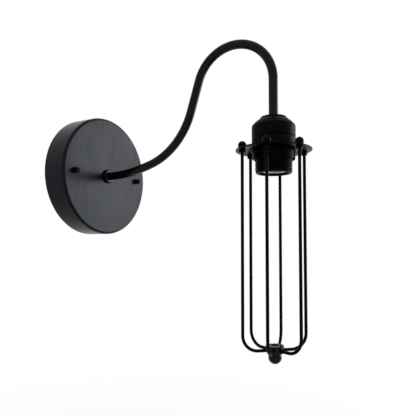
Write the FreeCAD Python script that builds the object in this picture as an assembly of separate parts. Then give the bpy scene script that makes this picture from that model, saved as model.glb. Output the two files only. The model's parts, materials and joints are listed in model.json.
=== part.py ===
import FreeCAD, Part
import math
import os

# Swan-neck wall light with a six-wire cage round a screw lamp.
# Millimetres. Origin: centre of the wall side. The wall is the plane Y = 0,
# the light stands out along -Y, +Z is up. "Out" below means distance from the wall.

V = FreeCAD.Vector
UP = V(0, 0, 1)
OUT = V(0, -1, 0)

# ---- clearances -------------------------------------------------------------
THREAD_FIT = 0.05          # radial play left between a thread and its nut
SEAT_GAP = 0.3             # between the moving cage or collar and the lampholder
RUN_FIT = 0.10             # radial play of the shade collar on its thread
HOLE_FIT = 0.3             # radial room of a plain hole round a stud or the arm
PLATE_FIT = 0.4            # radial room of the ring plate round the shade thread
TIP_ROOM = 0.4             # past a thread's tip in a blind bore
TIP_SINK = 0.2             # a screw's or stud's foot in from the wall side
CUT_PAST = 1.0             # how far a cutter runs past what it cuts

# ---- canopy -----------------------------------------------------------------
CANOPY_D = 150.0
CANOPY_DEPTH = 31.0
CANOPY_WALL = 1.2
CANOPY_EDGE_R = 3.0
STUD_INSET = 18.0          # canopy's rim to a fixing stud

# ---- strap on the wall ------------------------------------------------------
STRAP_PAST_STUD = 8.0      # strap's end past a stud
STRAP_WIDTH = 18.0
STRAP_THICK = 1.6
STRAP_CABLE_HOLE_D = 10.4
SLOT_SPACING = 60.0
SLOT_LENGTH = 16.0
SLOT_WIDTH = 5.0
STRAP_TAB_WIDTH = 27.0
STRAP_TAB_RISE = 22.0      # how far the terminal tab stands above the bar
EARTH_SCREW_X = 14.0
BLOCK3_OVER_STRAP = 4.0    # terminal block's foot above the bar

# ---- studs and cap nuts -----------------------------------------------------
STUD_D = 4.0
STUD_STAND_OUT = 5.0       # stud length beyond the canopy face
M4_NUT_AF = 7.0
M4_NUT_H = 3.2
CAP_NUT_DOME_R = 3.4
CAP_NUT_H = 7.6

# ---- arm --------------------------------------------------------------------
TUBE_D = 10.0
TUBE_WALL = 1.0
REACH = 260.6              # wall to lamp axis
CROWN_RISE = 135.2         # root axis up to the top of the arm's axis
CROWN_R = 47.1
ROOT_RUN = 5.0             # straight stretch outside the canopy
ROOT_TURN = 18.0           # degrees turned by the long first bend
RISE_ANGLE = 72.5          # slope of the rising stretch, degrees
ROOT_TO_RISE = 2.4         # first bend's radius over the second one's
ARM_TAIL = 10.0            # threaded end inside the canopy
COLLAR_WALL = 3.8          # collar nut's wall round the tube
COLLAR_H = 4.0
COLLAR_EDGE_R = 1.2
LOCK_NUT_OVER = 4.0        # lock nut's flats over the tube
LOCK_NUT_H = 4.5
WASHER_RIM = 4.0           # washer's width round the tube
WASHER_T = 1.0

# ---- lampholder -------------------------------------------------------------
CROWN_DROP = 88.7          # top of the arm's axis down to the holder's top
SEAT_WIDTH = 3.4           # shade seat, from the thread out to the holder's side
HOLDER_TOP_D = 25.0
DOME_H = 22.2              # holder's cap, top face to seam
DOME_SLOPE_H = 10.6
DOME_SHOULDER_R = 2.2
DOME_WALL = 2.6
FLANGE_H = 12.5            # skirt's band, seam to shade seat
SEAM_STEP = 0.5            # depth of the groove at the seam
SEAM_GAP = 0.2             # left between cap and skirt at the seam
TOP_EDGE_R = 2.0           # rounding of the cap's top edge
SKIRT_D = 39.5             # outside of the shade thread
SKIRT_H = 25.5             # shade seat to mouth
SHELL_ROUND_ROOM = 1.5     # room between the skirt's bore and the screw shell
SKIRT_LIP = 0.6            # chamfer at the mouth
BAND_FOOT_R = 1.0          # rounding of the band's lower edge
SPIGOT_OVER = 0.8          # thread that carries the cap, over the shade thread
SPIGOT_WALL = 2.3
SPIGOT_H = 7.5
ENTRY_BUSH_WALL = 2.0
ENTRY_BUSH_H = 9.0
ENTRY_BOSS_WALL = 1.8      # holder's wall round the bush
ENTRY_LAND = 3.0           # thickness of the holder's top round the tube
TUBE_IN_HOLDER = 10.0

# ---- contacts inside the holder --------------------------------------------
BLOCK_H = 14.0
BLOCK_UNDER_SEAT = 2.0     # block's foot below the shade seat
SHELL_BORE_D = 26.6        # plain bore in place of the lamp thread
SHELL_WALL = 0.5
SHELL_H = 21.0
SHELL_ROOM = 1.6           # room round the button in the shell's top
BUTTON_D = 8.0
BUTTON_H = 2.2
BUTTON_STEM_D = 3.0
BUTTON_STEM_OVER = 0.6     # stem's end above the block
BUTTON_GAP = 0.3           # button's back to the block once pressed home
BUTTON_TRAVEL = 1.2
SPRING_WIRE_D = 0.5
SPRING_TURNS = 3
SPRING_MEAN_D = 5.0
SPRING_POCKET_D = 8.6
SPRING_POCKET_H = 6.0
TERMINAL_SPREAD = 18.0     # between the holder's two terminal screws
TERMINAL_HEAD_D = 5.2
TERMINAL_HEAD_H = 1.6
TERMINAL_SHANK_D = 3.0
TERMINAL_SHANK_DEEP = 7.0  # shank inside the block
FINGER_W = 5.0
FINGER_T = 0.6
FINGER_FIT = 0.05          # side contact's play beside the shell
FINGER_REACH = 5.0         # side contact below the block
TAG_OVER = 0.9             # live tag above the stem pressed home
TAG_PAST_STEM = 1.0        # live tag past the stem's far side

# ---- cage -------------------------------------------------------------------
PLATE_D = 80.6
PLATE_T = 1.0
WIRE_COUNT = 6
WIRE_D = 3.4
WIRE_RING_D = 68.6
WIRE_DROP = 208.0          # plate's under side to the axis of the lower runs
WIRE_BEND_R = 16.0
CAGE_TURN = 9.6            # degrees the cage sits round its axis
WIRE_NUT_D = 8.8
WIRE_NUT_H = 8.0
UNDER_NUT_AF = 6.0
UNDER_NUT_H = 3.4
WIRE_NUT_HOLD = 0.55       # share of the round nut's height that the wire fills
NUT_FOOT_IN = 0.86         # round nut's foot over its widest
HUB_D = 19.0
HUB_H = 8.6
HUB_FOOT_H = 1.6           # tapered foot of the hub
HUB_FOOT_IN = 2.2          # how far the foot draws in
HUB_WAIST_IN = 0.8         # hub's waist inside its rim
HUB_RIM_H = 1.6
HUB_RIM_R = 0.5
HUB_BORE_D = 8.4
HUB_BORE_FLARE = 1.3       # chamfer at the bore's mouth
HUB_FLOOR = 3.6
HUB_RUN_SINK = 5.0         # hub's rim down to the wires' axes
HUB_WIRE_BITE = 3.6        # how deep a wire enters the hub's side
HUB_SCREW_D = 4.0
HUB_SCREW_HEAD_D = 6.8
HUB_SCREW_HEAD_H = 2.0
HUB_SCREW_IN_BALL = 7.0
BALL_D = 14.0
BALL_NECK_D = 12.4
BALL_NECK_H = 0.3

# ---- shade collar -----------------------------------------------------------
COLLAR_RING_WALL = 2.75
COLLAR_RING_H = 9.6
COLLAR_RIM_H = 2.6         # unbroken band at the top
COLLAR_RIM_OUT = 0.4       # the band stands out from the lugs by this much
COLLAR_CHAMFER = 0.4
LUG_CHAMFER = 0.6          # at the lugs' lower ends
LUG_COUNT = 6
LUG_GAP_DEG = 24.0
THREAD_PITCH = 2.5
THREADS_LEFT = 2           # threads still held at the end of the travel

# ---- leads and terminals ----------------------------------------------------
LEAD_D = 2.2
LEAD_OFFSET = 1.6
LEAD_BEND_R = 3.0          # where the leads turn down into the terminal block
LEAD_SETTLE_R = 2.0        # where they turn towards the holder's terminals
LEAD_HELD = 4.4            # bare end inside a way of the terminal block
LEAD_IN_RUN = 6.0          # straight run before the arm's mouth
BLOCK3_W = 24.0
BLOCK3_H = 15.0
BLOCK3_T = 10.0
BLOCK3_BASE_T = 2.4
BLOCK3_PITCH = 8.0
BLOCK3_BARREL_W = 7.2
BLOCK3_WIRE_D = 3.0
BLOCK3_SCREW_D = 2.6
BLOCK3_SCREW_INSET = 3.0   # from the block's ends
BLOCK3_SCREW_SINK = 0.4    # below the block's face
FIX_HEAD_D = 4.6
FIX_HEAD_H = 1.4
DRIVER_SLOT_W = 0.6
DRIVER_SLOT_DEEP = 0.7
EARTH_HEAD_D = 7.0
EARTH_HEAD_H = 2.2
LUG_T = 1.0
LUG_TONGUE_W = 3.0
LUG_BARREL_D = 3.4
LUG_BARREL_LIFT = 1.2      # barrel's axis above the tongue's middle
LUG_BARREL_Z = 6.0         # barrel's foot above the screw
LUG_BARREL_H = 4.0
EARTH_LOOP_RISE = 9.0      # top of the earth lead above the block
EARTH_LOOP_SIDE = 3.0      # its side run beside the block

# ---- worked-out sizes -------------------------------------------------------
CANOPY_SPACING = CANOPY_D - 2 * STUD_INSET
STRAP_LENGTH = CANOPY_SPACING + 2 * STRAP_PAST_STUD
COLLAR_D = TUBE_D + 2 * COLLAR_WALL
LOCK_NUT_AF = TUBE_D + LOCK_NUT_OVER
WASHER_D = TUBE_D + 2 * WASHER_RIM
ENTRY_BUSH_D = TUBE_D + 2 * ENTRY_BUSH_WALL
HOLDER_D = SKIRT_D + 2 * SEAT_WIDTH
SPIGOT_D = SKIRT_D + SPIGOT_OVER
SKIRT_BORE_D = SHELL_BORE_D + 2 * SHELL_WALL + 2 * SHELL_ROUND_ROOM
BLOCK_D = SPIGOT_D - 2 * SPIGOT_WALL - 2 * THREAD_FIT
COLLAR_RING_D = SKIRT_D + 2 * RUN_FIT + 2 * COLLAR_RING_WALL
COLLAR_RIM_D = COLLAR_RING_D + 2 * COLLAR_RIM_OUT

# ---- worked-out places ------------------------------------------------------
FACE_OUT = CANOPY_DEPTH
INNER_FACE_OUT = CANOPY_DEPTH - CANOPY_WALL
HOLDER_TOP_Z = CROWN_RISE - CROWN_DROP
SEAM_Z = HOLDER_TOP_Z - DOME_H
SEAT_Z = SEAM_Z - FLANGE_H
MOUTH_Z = SEAT_Z - SKIRT_H
PLATE_TOP_Z = SEAT_Z - SEAT_GAP
PLATE_LOW_Z = PLATE_TOP_Z - PLATE_T
RING_TOP_Z = PLATE_LOW_Z - SEAT_GAP
RUN_Z = PLATE_LOW_Z - WIRE_DROP
HUB_TOP_Z = RUN_Z + HUB_RUN_SINK
HUB_LOW_Z = HUB_TOP_Z - HUB_H
BLOCK_LOW_Z = SEAT_Z - BLOCK_UNDER_SEAT
BLOCK_TOP_Z = BLOCK_LOW_Z + BLOCK_H
TUBE_END_Z = HOLDER_TOP_Z - TUBE_IN_HOLDER
STUD_TIP_OUT = FACE_OUT + STUD_STAND_OUT
BLOCK3_LOW_Z = STRAP_WIDTH / 2 + BLOCK3_OVER_STRAP
BLOCK3_TOP_Z = BLOCK3_LOW_Z + BLOCK3_H
BLOCK3_FACE_OUT = STRAP_THICK + BLOCK3_T
BLOCK3_MID_OUT = STRAP_THICK + BLOCK3_T / 2
LIVE_TAG_LIFT = BUTTON_TRAVEL + TAG_OVER
LIVE_SEAT_Z = BLOCK_TOP_Z + LIVE_TAG_LIFT + FINGER_T
NEUTRAL_SEAT_Z = BLOCK_TOP_Z + FINGER_T
CAGE_TRAVEL = RING_TOP_Z - MOUTH_Z - THREADS_LEFT * THREAD_PITCH
COLLAR_TURNS = CAGE_TRAVEL / THREAD_PITCH
CORNER_IN = 1 - math.sqrt(0.5)   # a quarter arc's middle, in from its corner, over its radius
SAME_POINT = 1e-6


# ---- small helpers ----------------------------------------------------------
def on_wall(x, out, z):
    """A point given by its distance out from the wall."""
    return V(x, -out, z)


def at_lamp(x, y, z):
    """A point given from the lamp's axis."""
    return V(x, y - REACH, z)


def rod_out(x, z, out_from, out_to, radius):
    """A round bar square to the wall."""
    return Part.makeCylinder(radius, out_to - out_from, on_wall(x, out_from, z), OUT)


def rod_down(z_low, z_high, radius):
    """A round bar on the lamp's axis."""
    return Part.makeCylinder(radius, z_high - z_low, at_lamp(0, 0, z_low), UP)


def hex_bar(across_flats, height, base, axis):
    """A six-sided bar standing on base along axis."""
    corner = across_flats / math.sqrt(3)
    turn = FreeCAD.Rotation(UP, axis)
    corners = []
    for i in range(7):
        angle = math.radians(60 * i)
        flat = V(corner * math.cos(angle), corner * math.sin(angle), 0)
        corners.append(base + turn.multVec(flat))
    face = Part.Face(Part.makePolygon(corners))
    return face.extrude(axis * height)


def turned(profile, base, axis):
    """Revolve a closed list of (radius, height) edges about axis through base.

    A profile item is a corner (r, h), or (r, h, mid_r, mid_h) for an arc
    that reaches the corner through the middle point.
    """
    points = [V(item[0], 0, item[1]) for item in profile]
    edges = []
    for i, item in enumerate(profile):
        start = points[i - 1]
        end = points[i]
        if start.distanceToPoint(end) < SAME_POINT:
            continue
        if len(item) == 4:
            mid = V(item[2], 0, item[3])
            edges.append(Part.Arc(start, mid, end).toShape())
        else:
            edges.append(Part.makeLine(start, end))
    face = Part.Face(Part.Wire(edges))
    solid = face.revolve(V(0, 0, 0), UP, 360)
    solid.Placement = FreeCAD.Placement(base, FreeCAD.Rotation(UP, axis))
    return solid


def dome_nut(base, axis):
    """A cap nut for a canopy stud: six-sided foot, round dome, blind bore."""
    foot = hex_bar(M4_NUT_AF, M4_NUT_H, base, axis)
    shoulder = CAP_NUT_H - CAP_NUT_DOME_R
    mid = CAP_NUT_DOME_R * math.sqrt(0.5)
    top = [
        (0, M4_NUT_H),
        (CAP_NUT_DOME_R, M4_NUT_H),
        (CAP_NUT_DOME_R, shoulder),
        (0, CAP_NUT_H, mid, shoulder + mid),
    ]
    nut = foot.fuse(turned(top, base, axis)).removeSplitter()
    bore = Part.makeCylinder(STUD_D / 2 + THREAD_FIT, STUD_STAND_OUT + TIP_ROOM, base, axis)
    return nut.cut(bore)


def rounded_path(points, radius):
    """Edges of straight runs joined by tangent arcs of one radius."""
    edges = []
    here = points[0]
    for before, corner, after in zip(points, points[1:], points[2:]):
        to_corner = (corner - before).normalize()
        from_corner = (after - corner).normalize()
        turn = to_corner.getAngle(from_corner)
        back = radius * math.tan(turn / 2)
        start = corner - to_corner * back
        end = corner + from_corner * back
        inward = (from_corner - to_corner).normalize()
        centre = corner + inward * (radius / math.cos(turn / 2))
        mid = centre - inward * radius
        edges.append(Part.makeLine(here, start))
        edges.append(Part.Arc(start, mid, end).toShape())
        here = end
    edges.append(Part.makeLine(here, points[-1]))
    return edges


def swept(edges, radius):
    """A round bar along edges joined end to end."""
    path = Part.Wire(edges)
    first = edges[0]
    start = first.valueAt(first.FirstParameter)
    along = first.tangentAt(first.FirstParameter)
    ring = Part.Wire(Part.makeCircle(radius, start, along))
    return path.makePipeShell([ring], True, False)


def group(shapes):
    """Several separate solids kept in one node."""
    return Part.makeCompound(shapes)


# ---- arm --------------------------------------------------------------------
def arm_bends():
    """Second bend's radius and the length of the rising straight stretch.

    The two lower bends and the straight stretch close the way from the canopy
    to the crown, sideways and upwards.
    """
    root = math.radians(ROOT_TURN)
    rise = math.radians(RISE_ANGLE)
    side = REACH - FACE_OUT - ROOT_RUN - CROWN_R * (1 + math.sin(rise))
    up = CROWN_RISE - CROWN_R * (1 - math.cos(rise))
    a = ROOT_TO_RISE * math.sin(root) + math.sin(rise) - math.sin(root)
    b = math.cos(rise)
    c = ROOT_TO_RISE * (1 - math.cos(root)) + math.cos(root) - math.cos(rise)
    d = math.sin(rise)
    det = a * d - b * c
    return (side * d - b * up) / det, (a * up - c * side) / det


def arm_edges(x):
    """The arm's line from inside the canopy to inside the lampholder."""
    rise_r, straight = arm_bends()
    root_r = rise_r * ROOT_TO_RISE
    root = math.radians(ROOT_TURN)
    rise = math.radians(RISE_ANGLE)

    def bend_up(centre_out, centre_z, radius, angle):
        return on_wall(x, centre_out + radius * math.sin(angle), centre_z - radius * math.cos(angle))

    start = on_wall(x, INNER_FACE_OUT - ARM_TAIL, 0)
    root_out = FACE_OUT + ROOT_RUN
    root_start = on_wall(x, root_out, 0)
    root_mid = bend_up(root_out, root_r, root_r, root / 2)
    root_end = bend_up(root_out, root_r, root_r, root)
    out1 = -root_end.y - rise_r * math.sin(root)
    z1 = root_end.z + rise_r * math.cos(root)
    rise_mid = bend_up(out1, z1, rise_r, (root + rise) / 2)
    rise_end = bend_up(out1, z1, rise_r, rise)
    crown_out = REACH - CROWN_R
    crown_z = CROWN_RISE - CROWN_R

    def over(angle):
        return on_wall(x, crown_out - CROWN_R * math.sin(angle), crown_z + CROWN_R * math.cos(angle))

    crown_start = over(rise)
    crown_mid = over((rise - math.pi / 2) / 2)
    crown_end = over(-math.pi / 2)
    end = on_wall(x, REACH, TUBE_END_Z)
    return [
        Part.makeLine(start, root_start),
        Part.Arc(root_start, root_mid, root_end).toShape(),
        Part.Arc(root_end, rise_mid, rise_end).toShape(),
        Part.makeLine(rise_end, crown_start),
        Part.Arc(crown_start, crown_mid, crown_end).toShape(),
        Part.makeLine(crown_end, end),
    ]


def arm_tube():
    outside = swept(arm_edges(0), TUBE_D / 2)
    inside = swept(arm_edges(0), TUBE_D / 2 - TUBE_WALL)
    return outside.cut(inside)


def arm_collar():
    """Round collar nut that shows on the canopy's face."""
    r = COLLAR_D / 2
    e = COLLAR_EDGE_R
    in_mid = e * CORNER_IN
    profile = [
        (TUBE_D / 2 + THREAD_FIT, 0),
        (r, 0),
        (r, COLLAR_H - e),
        (r - e, COLLAR_H, r - in_mid, COLLAR_H - in_mid),
        (TUBE_D / 2 + THREAD_FIT, COLLAR_H),
    ]
    return turned(profile, on_wall(0, FACE_OUT, 0), OUT)


def arm_washer():
    ring = rod_out(0, 0, INNER_FACE_OUT - WASHER_T, INNER_FACE_OUT, WASHER_D / 2)
    return ring.cut(rod_out(0, 0, 0, FACE_OUT, TUBE_D / 2 + THREAD_FIT))


def arm_lock_nut():
    base_out = INNER_FACE_OUT - WASHER_T - LOCK_NUT_H
    nut = hex_bar(LOCK_NUT_AF, LOCK_NUT_H, on_wall(0, base_out, 0), OUT)
    return nut.cut(rod_out(0, 0, 0, FACE_OUT, TUBE_D / 2 + THREAD_FIT))


# ---- canopy and what is behind it -------------------------------------------
def canopy():
    """Round pressed cup with a rolled front edge, open to the wall."""
    r = CANOPY_D / 2
    e = CANOPY_EDGE_R
    s = e * CORNER_IN
    w = CANOPY_WALL
    i = e - w
    t = i * CORNER_IN
    profile = [
        (TUBE_D / 2 + HOLE_FIT, FACE_OUT),
        (TUBE_D / 2 + HOLE_FIT, INNER_FACE_OUT),
        (r - e, INNER_FACE_OUT),
        (r - w, INNER_FACE_OUT - i, r - w - t, INNER_FACE_OUT - t),
        (r - w, 0),
        (r, 0),
        (r, FACE_OUT - e),
        (r - e, FACE_OUT, r - s, FACE_OUT - s),
    ]
    cup = turned(profile, V(0, 0, 0), OUT)
    for x in stud_places():
        cup = cup.cut(rod_out(x, 0, 0, FACE_OUT + CUT_PAST, STUD_D / 2 + HOLE_FIT))
    return cup


def stud_places():
    return (-CANOPY_SPACING / 2, CANOPY_SPACING / 2)


def slot_cutter(x):
    """A slot that runs along the strap."""
    half = (SLOT_LENGTH - SLOT_WIDTH) / 2
    far = STRAP_THICK + CUT_PAST
    bar = Part.makeBox(2 * half, far + CUT_PAST, SLOT_WIDTH, V(x - half, -far, -SLOT_WIDTH / 2))
    for end in (x - half, x + half):
        bar = bar.fuse(strap_hole(end, 0, SLOT_WIDTH / 2))
    return bar


def strap_hole(x, z, radius):
    """A cutter for a round hole through the strap."""
    return rod_out(x, z, -CUT_PAST, STRAP_THICK + CUT_PAST, radius)


def mounting_strap():
    """Flat bar with round ends and a tab for the terminal block."""
    half = STRAP_LENGTH / 2 - STRAP_WIDTH / 2
    corner = V(-half, -STRAP_THICK, -STRAP_WIDTH / 2)
    strap = Part.makeBox(2 * half, STRAP_THICK, STRAP_WIDTH, corner)
    for end in (-half, half):
        strap = strap.fuse(rod_out(end, 0, 0, STRAP_THICK, STRAP_WIDTH / 2))
    tab_corner = V(-STRAP_TAB_WIDTH / 2, -STRAP_THICK, STRAP_WIDTH / 2)
    tab = Part.makeBox(STRAP_TAB_WIDTH, STRAP_THICK, STRAP_TAB_RISE, tab_corner)
    strap = strap.fuse(tab).removeSplitter()
    tapped_r = STUD_D / 2 + THREAD_FIT
    cuts = [strap_hole(0, 0, STRAP_CABLE_HOLE_D / 2)]
    cuts += [slot_cutter(side * SLOT_SPACING / 2) for side in (-1, 1)]
    cuts += [strap_hole(x, 0, tapped_r) for x in stud_places()]
    cuts.append(strap_hole(EARTH_SCREW_X, 0, tapped_r))
    cuts.append(strap_hole(0, block3_mid_z(), BLOCK3_SCREW_D / 2 + THREAD_FIT))
    for cut in cuts:
        strap = strap.cut(cut)
    return strap


def canopy_studs():
    return group([rod_out(x, 0, TIP_SINK, STUD_TIP_OUT, STUD_D / 2) for x in stud_places()])


def stud_lock_nuts():
    nuts = []
    for x in stud_places():
        nut = hex_bar(M4_NUT_AF, M4_NUT_H, on_wall(x, STRAP_THICK, 0), OUT)
        nuts.append(nut.cut(rod_out(x, 0, 0, FACE_OUT, STUD_D / 2 + THREAD_FIT)))
    return group(nuts)


def canopy_cap_nuts():
    """Small domed nuts that hold the canopy on its studs."""
    return group([dome_nut(on_wall(x, FACE_OUT, 0), OUT) for x in stud_places()])


# ---- wiring -----------------------------------------------------------------
def block3_mid_z():
    return BLOCK3_LOW_Z + BLOCK3_H / 2


def block3_poles():
    """Sideways places of the live, earth and neutral ways."""
    return (-BLOCK3_PITCH, 0.0, BLOCK3_PITCH)


def terminal_block():
    """Three-way block: a barrel per way on a common base."""
    corner = on_wall(-BLOCK3_W / 2, STRAP_THICK + BLOCK3_BASE_T, BLOCK3_LOW_Z)
    block = Part.makeBox(BLOCK3_W, BLOCK3_BASE_T, BLOCK3_H, corner)
    deep = BLOCK3_T - BLOCK3_BASE_T
    for x in block3_poles():
        corner = on_wall(x - BLOCK3_BARREL_W / 2, BLOCK3_FACE_OUT, BLOCK3_LOW_Z)
        block = block.fuse(Part.makeBox(BLOCK3_BARREL_W, deep, BLOCK3_H, corner))
    block = block.removeSplitter()
    past = BLOCK3_FACE_OUT + CUT_PAST
    screw_r = BLOCK3_SCREW_D / 2
    for x in block3_poles():
        foot = on_wall(x, BLOCK3_MID_OUT, BLOCK3_LOW_Z - CUT_PAST)
        way = Part.makeCylinder(BLOCK3_WIRE_D / 2, BLOCK3_H + 2 * CUT_PAST, foot, UP)
        block = block.cut(way)
        for z in terminal_screw_heights():
            block = block.cut(rod_out(x, z, BLOCK3_MID_OUT, past, screw_r + THREAD_FIT))
    return block.cut(rod_out(0, block3_mid_z(), 0, past, screw_r + RUN_FIT))


def terminal_screw_heights():
    return (BLOCK3_LOW_Z + BLOCK3_SCREW_INSET, BLOCK3_TOP_Z - BLOCK3_SCREW_INSET)


def driver_slot(x, z, out, radius):
    """A cutter for the driver slot in a screw's outer end."""
    width = 2 * (radius + CUT_PAST)
    corner = on_wall(x - width / 2, out + CUT_PAST, z - DRIVER_SLOT_W / 2)
    return Part.makeBox(width, DRIVER_SLOT_DEEP + CUT_PAST, DRIVER_SLOT_W, corner)


def headed_screw(x, z, seat_out, head_d, head_h, shank_d):
    """A slotted screw from a head on its seat back through the strap."""
    end = seat_out + head_h
    head = rod_out(x, z, seat_out, end, head_d / 2)
    screw = head.fuse(rod_out(x, z, TIP_SINK, seat_out, shank_d / 2)).removeSplitter()
    return screw.cut(driver_slot(x, z, end, head_d / 2))


def terminal_screws():
    """Headless screws that press each lead in its way."""
    screws = []
    tip = BLOCK3_MID_OUT + LEAD_D / 2 + THREAD_FIT
    end = BLOCK3_FACE_OUT - BLOCK3_SCREW_SINK
    r = BLOCK3_SCREW_D / 2
    for x in block3_poles():
        for z in terminal_screw_heights():
            screws.append(rod_out(x, z, tip, end, r).cut(driver_slot(x, z, end, r)))
    return group(screws)


def block_fixing_screw():
    """Holds the terminal block on the strap's tab, between two ways' screws."""
    return headed_screw(0, block3_mid_z(), BLOCK3_FACE_OUT, FIX_HEAD_D, FIX_HEAD_H, BLOCK3_SCREW_D)


def earth_screw():
    seat_out = STRAP_THICK + LUG_T
    return headed_screw(EARTH_SCREW_X, 0, seat_out, EARTH_HEAD_D, EARTH_HEAD_H, STUD_D)


def earth_lug():
    """Ring lug under the earth screw's head, with its crimped barrel."""
    top_out = STRAP_THICK + LUG_T
    ring = rod_out(EARTH_SCREW_X, 0, STRAP_THICK, top_out, EARTH_HEAD_D / 2)
    corner = on_wall(EARTH_SCREW_X - LUG_TONGUE_W / 2, top_out, 0)
    tongue = Part.makeBox(LUG_TONGUE_W, LUG_T, LUG_BARREL_Z + LUG_T, corner)
    foot = on_wall(EARTH_SCREW_X, lug_barrel_out(), LUG_BARREL_Z)
    barrel = Part.makeCylinder(LUG_BARREL_D / 2, LUG_BARREL_H, foot, UP)
    lug = ring.fuse(tongue).fuse(barrel).removeSplitter()
    bore = Part.makeCylinder(LEAD_D / 2 + THREAD_FIT, LUG_BARREL_H, foot + UP * LUG_T, UP)
    return lug.cut(bore).cut(rod_out(EARTH_SCREW_X, 0, 0, top_out + CUT_PAST, STUD_D / 2 + THREAD_FIT))


def lug_barrel_out():
    """The crimped barrel's axis, out from the wall."""
    return STRAP_THICK + LUG_T / 2 + LUG_BARREL_LIFT


def earth_lead():
    """From the lug round the block's side and down into its middle way."""
    out_low = lug_barrel_out()
    lug_top = LUG_BARREL_Z + LUG_BARREL_H
    over_z = BLOCK3_TOP_Z + EARTH_LOOP_RISE
    side_x = BLOCK3_W / 2 + EARTH_LOOP_SIDE
    points = [
        on_wall(EARTH_SCREW_X, out_low, LUG_BARREL_Z + LUG_T + THREAD_FIT),
        on_wall(EARTH_SCREW_X, out_low, lug_top + 2.0),
        on_wall(side_x, out_low + 1.5, lug_top + 10.0),
        on_wall(side_x, BLOCK3_MID_OUT, over_z),
        on_wall(0, BLOCK3_MID_OUT, over_z),
        on_wall(0, BLOCK3_MID_OUT, BLOCK3_TOP_Z - LEAD_HELD),
    ]
    return swept(rounded_path(points, LEAD_BEND_R), LEAD_D / 2)


def lead(side):
    """Supply lead from the terminal block through the arm to the lampholder."""
    x_tube = side * LEAD_OFFSET
    x_block = side * BLOCK3_PITCH
    x_holder = side * TERMINAL_SPREAD / 2
    arm = arm_edges(x_tube)
    arm_in = arm[0].valueAt(arm[0].FirstParameter)
    arm_out = arm[-1].valueAt(arm[-1].LastParameter)
    low = [
        on_wall(x_block, BLOCK3_MID_OUT, BLOCK3_LOW_Z + LEAD_HELD),
        on_wall(x_block, BLOCK3_MID_OUT, 2.0),
        on_wall(x_tube, -arm_in.y - LEAD_IN_RUN, 0),
        V(arm_in.x, arm_in.y, arm_in.z),
    ]
    head = rounded_path(low, LEAD_BEND_R)
    seat = LIVE_SEAT_Z if side < 0 else NEUTRAL_SEAT_Z
    low_end = seat + TERMINAL_HEAD_H
    high = [
        arm_out,
        arm_out - UP * 1.8,
        at_lamp(x_holder, 0, low_end + 2.6),
        at_lamp(x_holder, 0, low_end),
    ]
    tail = rounded_path(high, LEAD_SETTLE_R)
    return swept(head + arm + tail, LEAD_D / 2)


# ---- lampholder -------------------------------------------------------------
def holder_cap():
    """Domed cap with a flat top, sloping shoulder and straight wall."""
    r = HOLDER_D / 2
    top_r = HOLDER_TOP_D / 2
    h = DOME_H
    slope_z = h - DOME_SLOPE_H
    shoulder_in = r - DOME_SHOULDER_R * 0.55
    shoulder_z = slope_z + DOME_SHOULDER_R
    mid_r = (top_r + shoulder_in) / 2 + 0.7
    mid_z = (h - TOP_EDGE_R + shoulder_z) / 2 + 0.8
    bush_r = ENTRY_BUSH_D / 2
    boss_r = bush_r + ENTRY_BOSS_WALL
    land_low = h - ENTRY_LAND
    boss_low = land_low - ENTRY_BUSH_H
    thread_r = SPIGOT_D / 2 + THREAD_FIT
    room_r = r - DOME_WALL
    profile = [
        (TUBE_D / 2 + THREAD_FIT, h),
        (TUBE_D / 2 + THREAD_FIT, land_low),
        (bush_r, land_low),
        (bush_r, boss_low),
        (boss_r, boss_low),
        (boss_r, land_low - 1.0),
        (top_r - 0.2, land_low - 1.0),
        (room_r - 2.0, slope_z),
        (room_r - 2.0, SPIGOT_H + 0.8),
        (thread_r, SPIGOT_H + 0.8),
        (thread_r, SEAM_GAP),
        (r - SEAM_STEP, SEAM_GAP),
        (r, SEAM_GAP + SEAM_STEP),
        (r, slope_z),
        (shoulder_in, shoulder_z, r - 0.16 * DOME_SHOULDER_R, slope_z + 0.55 * DOME_SHOULDER_R),
        (top_r + 0.9 * TOP_EDGE_R, h - TOP_EDGE_R, mid_r, mid_z),
        (top_r, h, top_r + 0.7 * TOP_EDGE_R, h - 0.25 * TOP_EDGE_R),
    ]
    return turned(profile, at_lamp(0, 0, SEAM_Z), UP)


def entry_bush():
    """Threaded metal bush held in the cap, screwed on the arm's end."""
    top = HOLDER_TOP_Z - ENTRY_LAND
    bush = rod_down(top - ENTRY_BUSH_H, top, ENTRY_BUSH_D / 2)
    bore_low = top - ENTRY_BUSH_H - CUT_PAST
    return bush.cut(rod_down(bore_low, top + CUT_PAST, TUBE_D / 2 + THREAD_FIT))


def holder_skirt():
    """Lower body: band under the cap, then the long shade thread."""
    r = HOLDER_D / 2
    thread_r = SKIRT_D / 2
    spigot_r = SPIGOT_D / 2
    bore_r = SKIRT_BORE_D / 2
    foot = BAND_FOOT_R
    room_r = BLOCK_D / 2 + THREAD_FIT
    seam = SEAM_Z - MOUTH_Z
    seat = SEAT_Z - MOUTH_Z
    ledge = BLOCK_LOW_Z - MOUTH_Z
    profile = [
        (bore_r, SKIRT_LIP),
        (bore_r + SKIRT_LIP, 0),
        (thread_r - SKIRT_LIP, 0),
        (thread_r, SKIRT_LIP),
        (thread_r, seat),
        (r - foot, seat),
        (r, seat + foot, r - foot * CORNER_IN, seat + foot * CORNER_IN),
        (r, seam - SEAM_STEP),
        (r - SEAM_STEP, seam),
        (spigot_r, seam),
        (spigot_r, seam + SPIGOT_H),
        (room_r, seam + SPIGOT_H),
        (room_r, ledge),
        (bore_r, ledge),
    ]
    return turned(profile, at_lamp(0, 0, MOUTH_Z), UP)


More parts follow.
